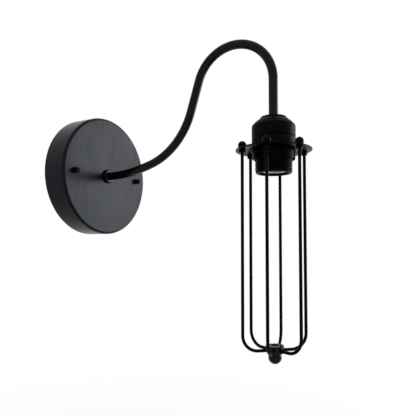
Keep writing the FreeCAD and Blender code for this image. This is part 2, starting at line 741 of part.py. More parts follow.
def contact_block():
    """Heat-proof disc that carries both contacts and their terminals."""
    r = BLOCK_D / 2
    block = rod_down(BLOCK_LOW_Z, BLOCK_TOP_Z, r)
    low = BLOCK_LOW_Z - CUT_PAST
    block = block.cut(rod_down(low, BLOCK_LOW_Z + SPRING_POCKET_H, SPRING_POCKET_D / 2))
    block = block.cut(rod_down(low, BLOCK_TOP_Z + CUT_PAST, BUTTON_STEM_D / 2 + RUN_FIT))
    for side in (-1, 1):
        block = block.cut(terminal_hole(side * TERMINAL_SPREAD / 2, TERMINAL_SHANK_DEEP + TIP_ROOM))
    return block.cut(side_slot())


def side_slot():
    """Way for the side contact down past the block."""
    x = SHELL_BORE_D / 2 + SHELL_WALL
    width = FINGER_W + 2 * RUN_FIT
    corner = at_lamp(x, -width / 2, BLOCK_LOW_Z - CUT_PAST)
    return Part.makeBox(FINGER_T + 2 * FINGER_FIT, width, BLOCK_H + 2 * CUT_PAST, corner)


def side_contact():
    """Bent strip from the neutral terminal down the outside of the shell."""
    x = SHELL_BORE_D / 2 + SHELL_WALL + FINGER_FIT
    y = -FINGER_W / 2
    start_x = TERMINAL_SPREAD / 2 - TERMINAL_HEAD_D / 2
    span = x + FINGER_T - start_x
    low = BLOCK_LOW_Z - FINGER_REACH
    top = Part.makeBox(span, FINGER_W, FINGER_T, at_lamp(start_x, y, BLOCK_TOP_Z))
    leg = Part.makeBox(FINGER_T, FINGER_W, BLOCK_TOP_Z - low, at_lamp(x, y, low))
    strip = top.fuse(leg).removeSplitter()
    return strip.cut(terminal_hole(TERMINAL_SPREAD / 2, CUT_PAST))


def terminal_hole(x, deep):
    """A cutter for a terminal screw: deep into the block, and up through a strip."""
    foot = at_lamp(x, 0, BLOCK_TOP_Z - deep)
    height = deep + LIVE_TAG_LIFT + FINGER_T + CUT_PAST
    return Part.makeCylinder(TERMINAL_SHANK_D / 2 + THREAD_FIT, height, foot, UP)


def live_tag():
    """Raised tag under the live screw, reaching in over the button's stem."""
    end_x = -TERMINAL_SPREAD / 2 - TERMINAL_HEAD_D / 2
    corner = at_lamp(end_x, -FINGER_W / 2, BLOCK_TOP_Z)
    span = BUTTON_STEM_D / 2 + TAG_PAST_STEM - end_x
    tag = Part.makeBox(span, FINGER_W, FINGER_T, corner + UP * LIVE_TAG_LIFT)
    foot = Part.makeBox(TERMINAL_HEAD_D, FINGER_W, LIVE_TAG_LIFT, corner)
    tag = tag.fuse(foot).removeSplitter()
    return tag.cut(terminal_hole(-TERMINAL_SPREAD / 2, CUT_PAST))


def contact_screws():
    """The two terminal screws on top of the block."""
    screws = []
    low = BLOCK_TOP_Z - TERMINAL_SHANK_DEEP
    for x, seat in ((-TERMINAL_SPREAD / 2, LIVE_SEAT_Z), (TERMINAL_SPREAD / 2, NEUTRAL_SEAT_Z)):
        shank = Part.makeCylinder(TERMINAL_SHANK_D / 2, seat - low, at_lamp(x, 0, low), UP)
        head = Part.makeCylinder(TERMINAL_HEAD_D / 2, TERMINAL_HEAD_H, at_lamp(x, 0, seat), UP)
        screws.append(shank.fuse(head).removeSplitter())
    return group(screws)


def screw_shell():
    """Thin shell for the lamp's screw base, its top holed for the button."""
    r = SHELL_BORE_D / 2
    low = BLOCK_LOW_Z - SHELL_H
    shell = rod_down(low, BLOCK_LOW_Z, r + SHELL_WALL)
    shell = shell.cut(rod_down(low - CUT_PAST, BLOCK_LOW_Z - SHELL_WALL, r))
    return shell.cut(rod_down(low, BLOCK_LOW_Z + CUT_PAST, BUTTON_D / 2 + SHELL_ROOM))


def button_back_z():
    """Back of the button's head at rest."""
    return BLOCK_LOW_Z - BUTTON_TRAVEL - BUTTON_GAP


def centre_contact():
    """Sprung button: round head, stem up through the block."""
    r = BUTTON_D / 2
    stem_r = BUTTON_STEM_D / 2
    low = button_back_z() - BUTTON_H
    top = BLOCK_TOP_Z + BUTTON_STEM_OVER - low
    profile = [
        (0, 0),
        (r, BUTTON_H * 0.6, r * 0.62, BUTTON_H * 0.12),
        (r, BUTTON_H),
        (stem_r, BUTTON_H),
        (stem_r, top),
        (0, top),
    ]
    return turned(profile, at_lamp(0, 0, low), UP)


def contact_spring():
    """Coil spring between the button's head and the pocket's roof."""
    low = button_back_z() + SPRING_WIRE_D / 2 + THREAD_FIT
    high = BLOCK_LOW_Z + SPRING_POCKET_H - SPRING_WIRE_D / 2 - THREAD_FIT
    per_turn = 8
    steps = SPRING_TURNS * per_turn
    r = SPRING_MEAN_D / 2
    points = []
    for i in range(steps + 1):
        angle = 2 * math.pi * i / per_turn
        z = low + (high - low) * i / steps
        points.append(at_lamp(r * math.cos(angle), r * math.sin(angle), z))
    edges = []
    for i in range(0, steps, 2):
        edges.append(Part.Arc(points[i], points[i + 1], points[i + 2]).toShape())
    return swept(edges, SPRING_WIRE_D / 2)


# ---- shade collar and cage --------------------------------------------------
def shade_collar():
    """Threaded collar that clamps the cage: a band with lugs below it."""
    r = COLLAR_RING_D / 2
    rim_r = COLLAR_RIM_D / 2
    bore_r = SKIRT_D / 2 + RUN_FIT
    lug_h = COLLAR_RING_H - COLLAR_RIM_H
    low = RING_TOP_Z - COLLAR_RING_H
    profile = [
        (bore_r, 0),
        (r - LUG_CHAMFER, 0),
        (r, LUG_CHAMFER),
        (r, lug_h),
        (rim_r, lug_h + COLLAR_CHAMFER),
        (rim_r, COLLAR_RING_H - COLLAR_CHAMFER),
        (rim_r - COLLAR_CHAMFER, COLLAR_RING_H),
        (bore_r, COLLAR_RING_H),
    ]
    ring = turned(profile, at_lamp(0, 0, low), UP)
    gap = 2 * r * math.sin(math.radians(LUG_GAP_DEG / 2))
    step = 360 / LUG_COUNT
    for i in range(LUG_COUNT):
        slot = Part.makeBox(r, gap, lug_h + CUT_PAST, V(bore_r / 2, -gap / 2, -CUT_PAST))
        slot.rotate(V(0, 0, 0), UP, CAGE_TURN + step * (i + 0.5))
        slot.translate(at_lamp(0, 0, low))
        ring = ring.cut(slot)
    return ring


def wire_angles():
    return [math.radians(CAGE_TURN + 360 / WIRE_COUNT * i) for i in range(WIRE_COUNT)]


def wire_foot(angle):
    """Where a wire passes the plate."""
    r = WIRE_RING_D / 2
    return at_lamp(r * math.cos(angle), r * math.sin(angle), PLATE_LOW_Z)


def ring_plate():
    """Flat disc that the six wires hang from."""
    low = PLATE_LOW_Z - CUT_PAST
    deep = PLATE_T + 2 * CUT_PAST
    plate = rod_down(PLATE_LOW_Z, PLATE_TOP_Z, PLATE_D / 2)
    plate = plate.cut(rod_down(low, low + deep, SKIRT_D / 2 + PLATE_FIT))
    for angle in wire_angles():
        foot = wire_foot(angle) - UP * CUT_PAST
        plate = plate.cut(Part.makeCylinder(WIRE_D / 2 + THREAD_FIT, deep, foot, UP))
    return plate


def cage_wire(angle):
    """One wire: threaded top, long drop, quarter bend, run into the hub."""
    ring_r = WIRE_RING_D / 2
    tip_r = HUB_D / 2 - HUB_WIRE_BITE
    c = math.cos(angle)
    s = math.sin(angle)
    top_z = PLATE_TOP_Z + WIRE_NUT_H * WIRE_NUT_HOLD
    points = [
        at_lamp(ring_r * c, ring_r * s, top_z),
        at_lamp(ring_r * c, ring_r * s, RUN_Z),
        at_lamp(tip_r * c, tip_r * s, RUN_Z),
    ]
    return swept(rounded_path(points, WIRE_BEND_R), WIRE_D / 2)


def wire_dome_nuts():
    """Round cap nuts on the wires' upper ends."""
    nuts = []
    r = WIRE_NUT_D / 2
    bore_r = WIRE_D / 2 + THREAD_FIT
    shoulder = WIRE_NUT_H - r
    bore_h = WIRE_NUT_H * WIRE_NUT_HOLD + THREAD_FIT
    mid = r * math.sqrt(0.5)
    profile = [
        (bore_r, 0),
        (r * NUT_FOOT_IN, 0),
        (r, shoulder, r * 0.97, shoulder * 0.45),
        (0, WIRE_NUT_H, mid, shoulder + mid),
        (0, bore_h),
        (bore_r, bore_h),
    ]
    for angle in wire_angles():
        nuts.append(turned(profile, wire_foot(angle) + UP * PLATE_T, UP))
    return group(nuts)


def wire_under_nuts():
    """Six-sided nuts under the plate, one on each wire."""
    nuts = []
    deep = UNDER_NUT_H + 2 * CUT_PAST
    for angle in wire_angles():
        base = wire_foot(angle) - UP * UNDER_NUT_H
        nut = hex_bar(UNDER_NUT_AF, UNDER_NUT_H, base, UP)
        nuts.append(nut.cut(Part.makeCylinder(WIRE_D / 2 + THREAD_FIT, deep, base - UP * CUT_PAST, UP)))
    return group(nuts)


def cage_hub():
    """Turned cup with a flared rim; the wires enter its side."""
    r = HUB_D / 2
    foot_r = r - HUB_FOOT_IN
    waist_r = r - HUB_WAIST_IN
    rim_low = HUB_H - HUB_RIM_H
    bore_r = HUB_BORE_D / 2
    screw_r = HUB_SCREW_D / 2 + RUN_FIT
    profile = [
        (screw_r, 0),
        (foot_r, 0),
        (waist_r, HUB_FOOT_H, (foot_r + waist_r) / 2 + 0.4, HUB_FOOT_H * 0.4),
        (waist_r, rim_low - HUB_WAIST_IN),
        (r, rim_low),
        (r, HUB_H - HUB_RIM_R),
        (r - HUB_RIM_R, HUB_H, r - HUB_RIM_R * CORNER_IN, HUB_H - HUB_RIM_R * CORNER_IN),
        (bore_r + HUB_BORE_FLARE, HUB_H),
        (bore_r, HUB_H - HUB_BORE_FLARE),
        (bore_r, HUB_FLOOR),
        (screw_r, HUB_FLOOR),
    ]
    hub = turned(profile, at_lamp(0, 0, HUB_LOW_Z), UP)
    tip_r = HUB_D / 2 - HUB_WIRE_BITE
    for angle in wire_angles():
        along = V(math.cos(angle), math.sin(angle), 0)
        start = at_lamp(0, 0, RUN_Z) + along * (tip_r - THREAD_FIT)
        hub = hub.cut(Part.makeCylinder(WIRE_D / 2 + THREAD_FIT, r, start, along))
    return hub


def hub_screw():
    """Pan-head screw up through the ball, its head in the hub's cup."""
    seat_z = HUB_LOW_Z + HUB_FLOOR
    top_z = seat_z + HUB_SCREW_HEAD_H
    head = rod_down(seat_z, top_z, HUB_SCREW_HEAD_D / 2)
    shank = rod_down(HUB_LOW_Z - HUB_SCREW_IN_BALL, seat_z, HUB_SCREW_D / 2)
    screw = head.fuse(shank).removeSplitter()
    length = HUB_SCREW_HEAD_D + 2 * CUT_PAST
    corner = at_lamp(-length / 2, -DRIVER_SLOT_W / 2, top_z - DRIVER_SLOT_DEEP)
    return screw.cut(Part.makeBox(length, DRIVER_SLOT_W, DRIVER_SLOT_DEEP + CUT_PAST, corner))


def ball_nut():
    """Round finial nut under the hub."""
    r = BALL_D / 2
    neck_r = BALL_NECK_D / 2
    drop = math.sqrt(r * r - neck_r * neck_r)
    bore_r = HUB_SCREW_D / 2 + THREAD_FIT
    bore_low = -HUB_SCREW_IN_BALL - TIP_ROOM
    centre = -BALL_NECK_H - drop
    profile = [
        (bore_r, 0),
        (bore_r, bore_low),
        (0, bore_low),
        (0, centre - r),
        (neck_r, centre + drop, r, centre),
        (neck_r, 0),
    ]
    return turned(profile, at_lamp(0, 0, HUB_LOW_Z), UP)


# ---- build ------------------------------------------------------------------
def all_nodes():
    nodes = {
        "canopy": canopy(),
        "mounting_strap": mounting_strap(),
        "canopy_studs": canopy_studs(),
        "stud_lock_nuts": stud_lock_nuts(),
        "canopy_cap_nuts": canopy_cap_nuts(),
        "arm_tube": arm_tube(),
        "arm_collar": arm_collar(),
        "arm_washer": arm_washer(),
        "arm_lock_nut": arm_lock_nut(),
        "terminal_block": terminal_block(),
        "terminal_screws": terminal_screws(),
        "block_fixing_screw": block_fixing_screw(),
        "earth_screw": earth_screw(),
        "earth_lug": earth_lug(),
        "earth_lead": earth_lead(),
        "live_lead": lead(-1),
        "neutral_lead": lead(1),
        "holder_cap": holder_cap(),
        "entry_bush": entry_bush(),
        "holder_skirt": holder_skirt(),
        "contact_block": contact_block(),
        "side_contact": side_contact(),
        "live_tag": live_tag(),
        "contact_screws": contact_screws(),
        "screw_shell": screw_shell(),
        "centre_contact": centre_contact(),
        "contact_spring": contact_spring(),
        "shade_collar": shade_collar(),
        "ring_plate": ring_plate(),
        "wire_dome_nuts": wire_dome_nuts(),
        "wire_under_nuts": wire_under_nuts(),
        "cage_hub": cage_hub(),
        "hub_screw": hub_screw(),
        "ball_nut": ball_nut(),
    }
    for i, angle in enumerate(wire_angles()):
        nodes["cage_wire_%d" % (i + 1)] = cage_wire(angle)
    return nodes


os.makedirs("parts", exist_ok=True)
for name, shape in all_nodes().items():
    shape.exportStep("parts/%s.step" % name)
    print(name, len(shape.Solids), shape.isValid(), round(shape.Volume, 1))
print("cage travel %.2f mm in %.2f turns of the collar" % (CAGE_TRAVEL, COLLAR_TURNS))
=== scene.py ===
import json
import logging
import math
from abc import ABC, abstractmethod
from dataclasses import dataclass, field
from enum import Enum
from typing import Any, Callable

import bmesh
import bpy
from mathutils import Matrix, Vector

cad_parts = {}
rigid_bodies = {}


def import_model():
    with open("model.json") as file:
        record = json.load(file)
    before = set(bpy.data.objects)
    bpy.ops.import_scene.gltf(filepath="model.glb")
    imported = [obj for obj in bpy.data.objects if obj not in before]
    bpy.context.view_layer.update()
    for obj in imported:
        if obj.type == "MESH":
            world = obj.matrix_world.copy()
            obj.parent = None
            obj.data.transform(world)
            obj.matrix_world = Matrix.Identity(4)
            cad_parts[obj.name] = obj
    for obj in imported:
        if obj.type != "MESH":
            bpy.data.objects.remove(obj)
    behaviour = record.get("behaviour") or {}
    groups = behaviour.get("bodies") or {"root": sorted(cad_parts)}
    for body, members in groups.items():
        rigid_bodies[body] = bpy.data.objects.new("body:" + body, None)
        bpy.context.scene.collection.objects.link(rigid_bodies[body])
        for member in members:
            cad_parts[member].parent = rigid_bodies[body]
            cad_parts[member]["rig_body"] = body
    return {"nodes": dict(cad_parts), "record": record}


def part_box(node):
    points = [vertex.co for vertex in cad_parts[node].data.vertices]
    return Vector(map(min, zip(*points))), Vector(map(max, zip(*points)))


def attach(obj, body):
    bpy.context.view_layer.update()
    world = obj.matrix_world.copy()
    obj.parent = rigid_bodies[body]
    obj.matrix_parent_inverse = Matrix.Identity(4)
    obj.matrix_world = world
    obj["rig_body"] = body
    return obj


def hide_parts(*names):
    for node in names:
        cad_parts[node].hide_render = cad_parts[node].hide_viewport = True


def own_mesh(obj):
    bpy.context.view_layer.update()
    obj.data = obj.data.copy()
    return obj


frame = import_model()

LOG = logging.getLogger("cage_wall_light")
MM = 0.001
NODES: dict[str, bpy.types.Object] = frame["nodes"]

WELD_MM = 0.002             # points nearer than this are one point
FLAT_DEG = 0.6              # faces that turn less than this are one face
BREAK_DEG = 38              # edges that turn more than this are broken
BREAK_STEPS = 2             # faces across a broken edge


# ---- colour, scale and node drawing -----------------------------------------
def linear(hex_colour: str) -> tuple[float, float, float, float]:
    """Turn an sRGB hex colour into the linear colour that a shader wants.

    Args:
        hex_colour: Six hex digits after a hash sign.

    Returns:
        Red, green, blue and an alpha of 1.
    """
    parts = [int(hex_colour[i:i + 2], 16) / 255 for i in (1, 3, 5)]
    red, green, blue = (c / 12.92 if c <= 0.04045 else ((c + 0.055) / 1.055) ** 2.4 for c in parts)
    return red, green, blue, 1.0


WHITE = linear("#FFFFFF")


def per_metre(size_mm: float) -> float:
    """Pattern scale that gives one feature every size_mm millimetres."""
    return 1.0 / (size_mm * MM)


class Sketch:
    """A node tree while it is being drawn."""

    def __init__(self, owner: bpy.types.Material | bpy.types.World) -> None:
        """Empty the owner's node tree.

        Args:
            owner: A material or a world.
        """
        owner.use_nodes = True
        self.tree = owner.node_tree
        self.tree.nodes.clear()

    def add(self, kind: str, settings: dict[str, Any] | None = None, **inputs: Any) -> bpy.types.Node:
        """Add one node with its settings, fixed values and links.

        Args:
            kind: The node's type name.
            settings: Attributes set on the node itself, or the two stops of a
                colour ramp, each a position and a hex colour.
            **inputs: Values or output sockets by input name, with _ for a space,
                or in0, in1 and so on for an input by its place.

        Returns:
            The new node.
        """
        node = self.tree.nodes.new(kind)
        for name, value in (settings or {}).items():
            if name == "stops":
                for element, (position, colour) in zip(node.color_ramp.elements, value):
                    element.position = position
                    element.color = linear(colour)
            else:
                setattr(node, name, value)
        for name, value in inputs.items():
            by_place = name.startswith("in") and name[2:].isdigit()
            socket = node.inputs[int(name[2:]) if by_place else name.replace("_", " ")]
            if isinstance(value, bpy.types.NodeSocket):
                self.tree.links.new(value, socket)
            else:
                socket.default_value = value
        return node


# ---- shading ----------------------------------------------------------------
class Crease(Enum):
    """Edges that turn more than this many degrees are shaded crisp."""

    ROUND = 30      # the tube, wires, leads and turned pieces
    BROKEN = 32     # pieces whose edges have been broken
    NEW = 35        # pieces built here
    BALL = 40       # domed nuts and the ball


def smooth_by_angle(piece: bpy.types.Object, crease: Crease) -> None:
    """Shade a mesh smooth between its crisp edges.

    Args:
        piece: The object to shade.
        crease: Which edges stay crisp.
    """
    work = bmesh.new()
    work.from_mesh(piece.data)
    limit = math.radians(crease.value)
    for face in work.faces:
        face.smooth = True
    for edge in work.edges:
        edge.smooth = len(edge.link_faces) == 2 and edge.calc_face_angle(0.0) < limit
    work.to_mesh(piece.data)
    work.free()


# ---- finishes ---------------------------------------------------------------
class Lay(Enum):
    """Which way the fine lines of a metal run, as the pattern's scale on each axis."""

    ALONG_X = (0.03, 1.0, 1.0)
    ALONG_Z = (1.0, 1.0, 0.03)


@dataclass(frozen=True)
class Finish(ABC):
    """A finish of one kind of surface, which draws its own shader."""

    name: str                   # what the real one is

    @abstractmethod
    def draw(self, s: Sketch) -> bpy.types.Node:
        """Draw the finish.

        Args:
            s: The material's node tree.

        Returns:
            The shader node.
        """

    def material(self) -> bpy.types.Material:
        """Make the material that shows the drawn shader.

        Returns:
            The new material.
        """
        material = bpy.data.materials.new(self.name)
        sketch = Sketch(material)
        shader = self.draw(sketch)
        sketch.add("ShaderNodeOutputMaterial", in0=shader.outputs[0])
        return material


@dataclass(frozen=True)
class PowderCoat(Finish):
    """Polyester powder coat, sprayed dry on pressed steel and baked.

    The powder flows out into a satin skin with a faint orange peel. It keeps a soft,
    wide highlight, and the white studio turns it slate grey where it faces the light.
    """

    name: str = "powder_coated_steel"
    body: str = "#0A0B0D"
    worn: str = "#14161A"
    roughness: tuple[float, float] = (0.25, 0.33)
    ior: float = 1.54
    specular: float = 0.10      # 0.5 is a plain film, and less keeps the black deep
    cast: str = "#DFE9FF"       # the skin mirrors a little cooler than the room
    peel_mm: float = 2.2        # orange peel, drawn at about twice its real size so that it shows
    peel_depth_mm: float = 0.010
    brush_mm: float = 2.4       # upright wiping marks under the coat
    brush_depth_mm: float = 0.055
    brush_stretch: float = 0.04     # how little the marks change along their length
    cloud_mm: float = 38.0      # slow change of film thickness

    def draw(self, s: Sketch) -> bpy.types.Node:
        """Draw the coat.

        Args:
            s: The material's node tree.

        Returns:
            The shader node.
        """
        place = s.add("ShaderNodeTexCoord").outputs["Object"]
        cloud = s.add("ShaderNodeTexNoise", Vector=place, Scale=per_metre(self.cloud_mm), Detail=3.0)
        upright = s.add("ShaderNodeMapping", Vector=place, Scale=(1.0, 1.0, self.brush_stretch))
        marks = s.add("ShaderNodeTexNoise", in0=upright.outputs[0],
                      Scale=per_metre(self.brush_mm), Detail=2.0)
        peel = s.add("ShaderNodeTexNoise", Vector=place, Scale=per_metre(self.peel_mm), Detail=1.5)
        half = s.add("ShaderNodeMath", {"operation": "MULTIPLY"}, in0=cloud.outputs[0], in1=0.5)
        blend = s.add("ShaderNodeMath", {"operation": "MULTIPLY_ADD"},
                      in0=marks.outputs[0], in1=0.5, in2=half.outputs[0])
        colour = s.add("ShaderNodeValToRGB", {"stops": [(0.40, self.body), (0.60, self.worn)]},
                       in0=blend.outputs[0])
        rough = s.add("ShaderNodeMapRange", Value=blend.outputs[0], From_Min=0.4, From_Max=0.6,
                      To_Min=self.roughness[0], To_Max=self.roughness[1])
        fine = s.add("ShaderNodeBump", Strength=0.4, Distance=self.brush_depth_mm * MM,
                     Height=marks.outputs[0])
        bump = s.add("ShaderNodeBump", Strength=0.5, Distance=self.peel_depth_mm * MM,
                     Height=peel.outputs[0], Normal=fine.outputs[0])
        return s.add("ShaderNodeBsdfPrincipled", Base_Color=colour.outputs[0], Roughness=rough.outputs[0],
                     IOR=self.ior, Specular_IOR_Level=self.specular,
                     Specular_Tint=linear(self.cast), Normal=bump.outputs[0])


@dataclass(frozen=True)
class StoveEnamel(Finish):
    """Black stoving enamel, put wet on steel and baked hard.

    Sprayed, it levels to a smooth semi-gloss film that shows narrow bright lines along
    a tube. The cage's copy is duller, and its darker colours are painted shade. Handling
    leaves faint dull patches, and the film thins at edges.
    """

    name: str = "stoved_black_enamel"
    body: str = "#08080A"
    thin: str = "#1A1A1C"
    roughness: tuple[float, float] = (0.13, 0.22)
    ior: float = 1.50
    specular: float = 0.11      # 0.5 is a plain film, and less keeps the black deep
    thin_edge: tuple[float, float] = (0.52, 0.60)   # pointiness over which the film thins
    ripple_mm: float = 9.0      # slow waviness of the sprayed film
    ripple_depth_mm: float = 0.02
    speck_mm: float = 1.4       # dust nibs, drawn coarse enough to show
    speck_depth_mm: float = 0.004
    patch_mm: float = 14.0      # dull patches from handling

    def draw(self, s: Sketch) -> bpy.types.Node:
        """Draw the enamel.

        Args:
            s: The material's node tree.

        Returns:
            The shader node.
        """
        place = s.add("ShaderNodeTexCoord").outputs["Object"]
        patch = s.add("ShaderNodeTexNoise", Vector=place, Scale=per_metre(self.patch_mm), Detail=4.0)
        ripple = s.add("ShaderNodeTexNoise", Vector=place, Scale=per_metre(self.ripple_mm))
        speck = s.add("ShaderNodeTexNoise", Vector=place, Scale=per_metre(self.speck_mm), Detail=1.0)
        edge = s.add("ShaderNodeNewGeometry").outputs["Pointiness"]
        worn = s.add("ShaderNodeMapRange", Value=edge, From_Min=self.thin_edge[0],
                     From_Max=self.thin_edge[1], To_Min=0.0, To_Max=0.35)
        soiled = s.add("ShaderNodeMath", {"operation": "MULTIPLY_ADD"},
                       in0=patch.outputs[0], in1=0.35, in2=worn.outputs[0])
        colour = s.add("ShaderNodeValToRGB", {"stops": [(0.15, self.body), (0.60, self.thin)]},
                       in0=soiled.outputs[0])
        rough = s.add("ShaderNodeMapRange", Value=patch.outputs[0], From_Min=0.35, From_Max=0.65,
                      To_Min=self.roughness[0], To_Max=self.roughness[1])
        waves = s.add("ShaderNodeBump", Strength=0.10, Distance=self.ripple_depth_mm * MM,
                      Height=ripple.outputs[0])
        bump = s.add("ShaderNodeBump", Strength=0.04, Distance=self.speck_depth_mm * MM,
                     Height=speck.outputs[0], Normal=waves.outputs[0])
        return s.add("ShaderNodeBsdfPrincipled", Base_Color=colour.outputs[0], Roughness=rough.outputs[0],
                     IOR=self.ior, Specular_IOR_Level=self.specular, Normal=bump.outputs[0])


@dataclass(frozen=True)
class Phenolic(Finish):
    """Black phenolic moulding compound, pressed hot in a polished steel mould.

    Wood flour in the resin gives a faint mottle, and the satin skin is duller than
    enamel, so it takes a broad, dim highlight.
    """

    name: str = "moulded_black_phenolic"
    body: str = "#080808"
    mottle: str = "#100F0E"
    roughness: tuple[float, float] = (0.34, 0.44)
    ior: float = 1.50
    specular: float = 0.025     # 0.5 is a plain skin, and less keeps the black deep
    fleck_mm: float = 1.1       # wood flour, drawn coarse enough to show
    skin_mm: float = 0.45       # mould skin, finer in truth
    skin_depth_mm: float = 0.006

    def draw(self, s: Sketch) -> bpy.types.Node:
        """Draw the moulding.

        Args:
            s: The material's node tree.

        Returns:
            The shader node.
        """
        place = s.add("ShaderNodeTexCoord").outputs["Object"]
        fleck = s.add("ShaderNodeTexNoise", Vector=place, Scale=per_metre(self.fleck_mm), Detail=3.0)
        skin = s.add("ShaderNodeTexNoise", Vector=place, Scale=per_metre(self.skin_mm), Detail=1.0)
        colour = s.add("ShaderNodeValToRGB", {"stops": [(0.40, self.body), (0.65, self.mottle)]},
                       in0=fleck.outputs[0])
        rough = s.add("ShaderNodeMapRange", Value=fleck.outputs[0], From_Min=0.35, From_Max=0.65,
                      To_Min=self.roughness[0], To_Max=self.roughness[1])
        bump = s.add("ShaderNodeBump", Strength=0.18, Distance=self.skin_depth_mm * MM,
                     Height=skin.outputs[0])
        return s.add("ShaderNodeBsdfPrincipled", Base_Color=colour.outputs[0], Roughness=rough.outputs[0],
                     IOR=self.ior, Specular_IOR_Level=self.specular, Normal=bump.outputs[0])


@dataclass(frozen=True)
class PlatedMetal(Finish):
    """A plated or bare metal piece, rolled, pressed or turned.

    Fine lines run along one axis from the rolls or the tool, and the plate dulls in
    cloudy patches where it has been handled.
    """

    bright: str
    dull: str
    roughness: tuple[float, float]
    line_mm: float              # between the lines, drawn coarse enough to show
    lay: Lay
    line_depth_mm: float = 0.006
    cloud_mm: float = 9.0       # dull patches from handling

    def draw(self, s: Sketch) -> bpy.types.Node:
        """Draw the metal.

        Args:
            s: The material's node tree.

        Returns:
            The shader node.
        """
        place = s.add("ShaderNodeTexCoord").outputs["Object"]
        cloud = s.add("ShaderNodeTexNoise", Vector=place, Scale=per_metre(self.cloud_mm), Detail=4.0)
        drawn = s.add("ShaderNodeMapping", Vector=place, Scale=self.lay.value)
        lines = s.add("ShaderNodeTexNoise", in0=drawn.outputs[0],
                      Scale=per_metre(self.line_mm), Detail=2.0)
        colour = s.add("ShaderNodeValToRGB", {"stops": [(0.36, self.bright), (0.68, self.dull)]},
                       in0=cloud.outputs[0])
        rough = s.add("ShaderNodeMapRange", Value=cloud.outputs[0], From_Min=0.35, From_Max=0.70,
                      To_Min=self.roughness[0], To_Max=self.roughness[1])
        bump = s.add("ShaderNodeBump", Strength=0.20, Distance=self.line_depth_mm * MM,
                     Height=lines.outputs[0])
        return s.add("ShaderNodeBsdfPrincipled", Base_Color=colour.outputs[0], Metallic=1.0,
                     Roughness=rough.outputs[0], Normal=bump.outputs[0])


@dataclass(frozen=True)
class Insulation(Finish):
    """Extruded soft PVC sleeve on a lead.

    It is smooth and slightly waxy. The earth lead has a stripe of a second colour
    along its sides, so the colour follows which way the surface faces.
    """

    ground: str
    shade: str
    stripe: str | None = None
    roughness: float = 0.38
    ior: float = 1.53
    drag_mm: float = 1.6        # marks from the die, drawn coarse
    drag_depth_mm: float = 0.01

    def draw(self, s: Sketch) -> bpy.types.Node:
        """Draw the sleeve.

        Args:
            s: The material's node tree.

        Returns:
            The shader node.
        """
        coords = s.add("ShaderNodeTexCoord")
        place = coords.outputs["Object"]
        drag = s.add("ShaderNodeTexNoise", Vector=place, Scale=per_metre(self.drag_mm), Detail=2.0)
        colour = s.add("ShaderNodeValToRGB", {"stops": [(0.35, self.ground), (0.70, self.shade)]},
                       in0=drag.outputs[0])
        skin = colour.outputs[0]
        if self.stripe:
            facing = s.add("ShaderNodeSeparateXYZ", in0=coords.outputs["Normal"])
            side = s.add("ShaderNodeMath", {"operation": "ABSOLUTE"}, in0=facing.outputs["Y"])
            mask = s.add("ShaderNodeMapRange", Value=side.outputs[0], From_Min=0.50, From_Max=0.56)
            band = s.add("ShaderNodeMix", {"data_type": "RGBA"}, Factor=mask.outputs[0],
                         in6=skin, in7=linear(self.stripe))
            skin = band.outputs[2]
        bump = s.add("ShaderNodeBump", Strength=0.15, Distance=self.drag_depth_mm * MM,
                     Height=drag.outputs[0])
        return s.add("ShaderNodeBsdfPrincipled", Base_Color=skin, Roughness=self.roughness,
                     IOR=self.ior, Normal=bump.outputs[0])


@dataclass(frozen=True)
class Moulding(Finish):
    """Pale moulded insulator: natural nylon, or a fired steatite body.

    Nylon lets a little light in, which softens its edges. Steatite is chalky with
    fine grains.
    """

    pale: str
    shade: str
    roughness: tuple[float, float]
    grain_mm: float             # drawn coarse enough to show
    soak: float                 # share of the light that goes in and comes out again
    ior: float
    soak_mm: float = 0.8        # how far that light spreads
    grain_depth_mm: float = 0.01

    def draw(self, s: Sketch) -> bpy.types.Node:
        """Draw the insulator.

        Args:
            s: The material's node tree.

        Returns:
            The shader node.
        """
        place = s.add("ShaderNodeTexCoord").outputs["Object"]
        grain = s.add("ShaderNodeTexNoise", Vector=place, Scale=per_metre(self.grain_mm), Detail=3.0)
        colour = s.add("ShaderNodeValToRGB", {"stops": [(0.35, self.pale), (0.75, self.shade)]},
                       in0=grain.outputs[0])
        rough = s.add("ShaderNodeMapRange", Value=grain.outputs[0], From_Min=0.3, From_Max=0.7,
                      To_Min=self.roughness[0], To_Max=self.roughness[1])
        bump = s.add("ShaderNodeBump", Strength=0.2, Distance=self.grain_depth_mm * MM,
                     Height=grain.outputs[0])
        return s.add("ShaderNodeBsdfPrincipled", Base_Color=colour.outputs[0], Roughness=rough.outputs[0],
                     IOR=self.ior, Subsurface_Weight=self.soak,
                     Subsurface_Scale=self.soak_mm * MM, Normal=bump.outputs[0])


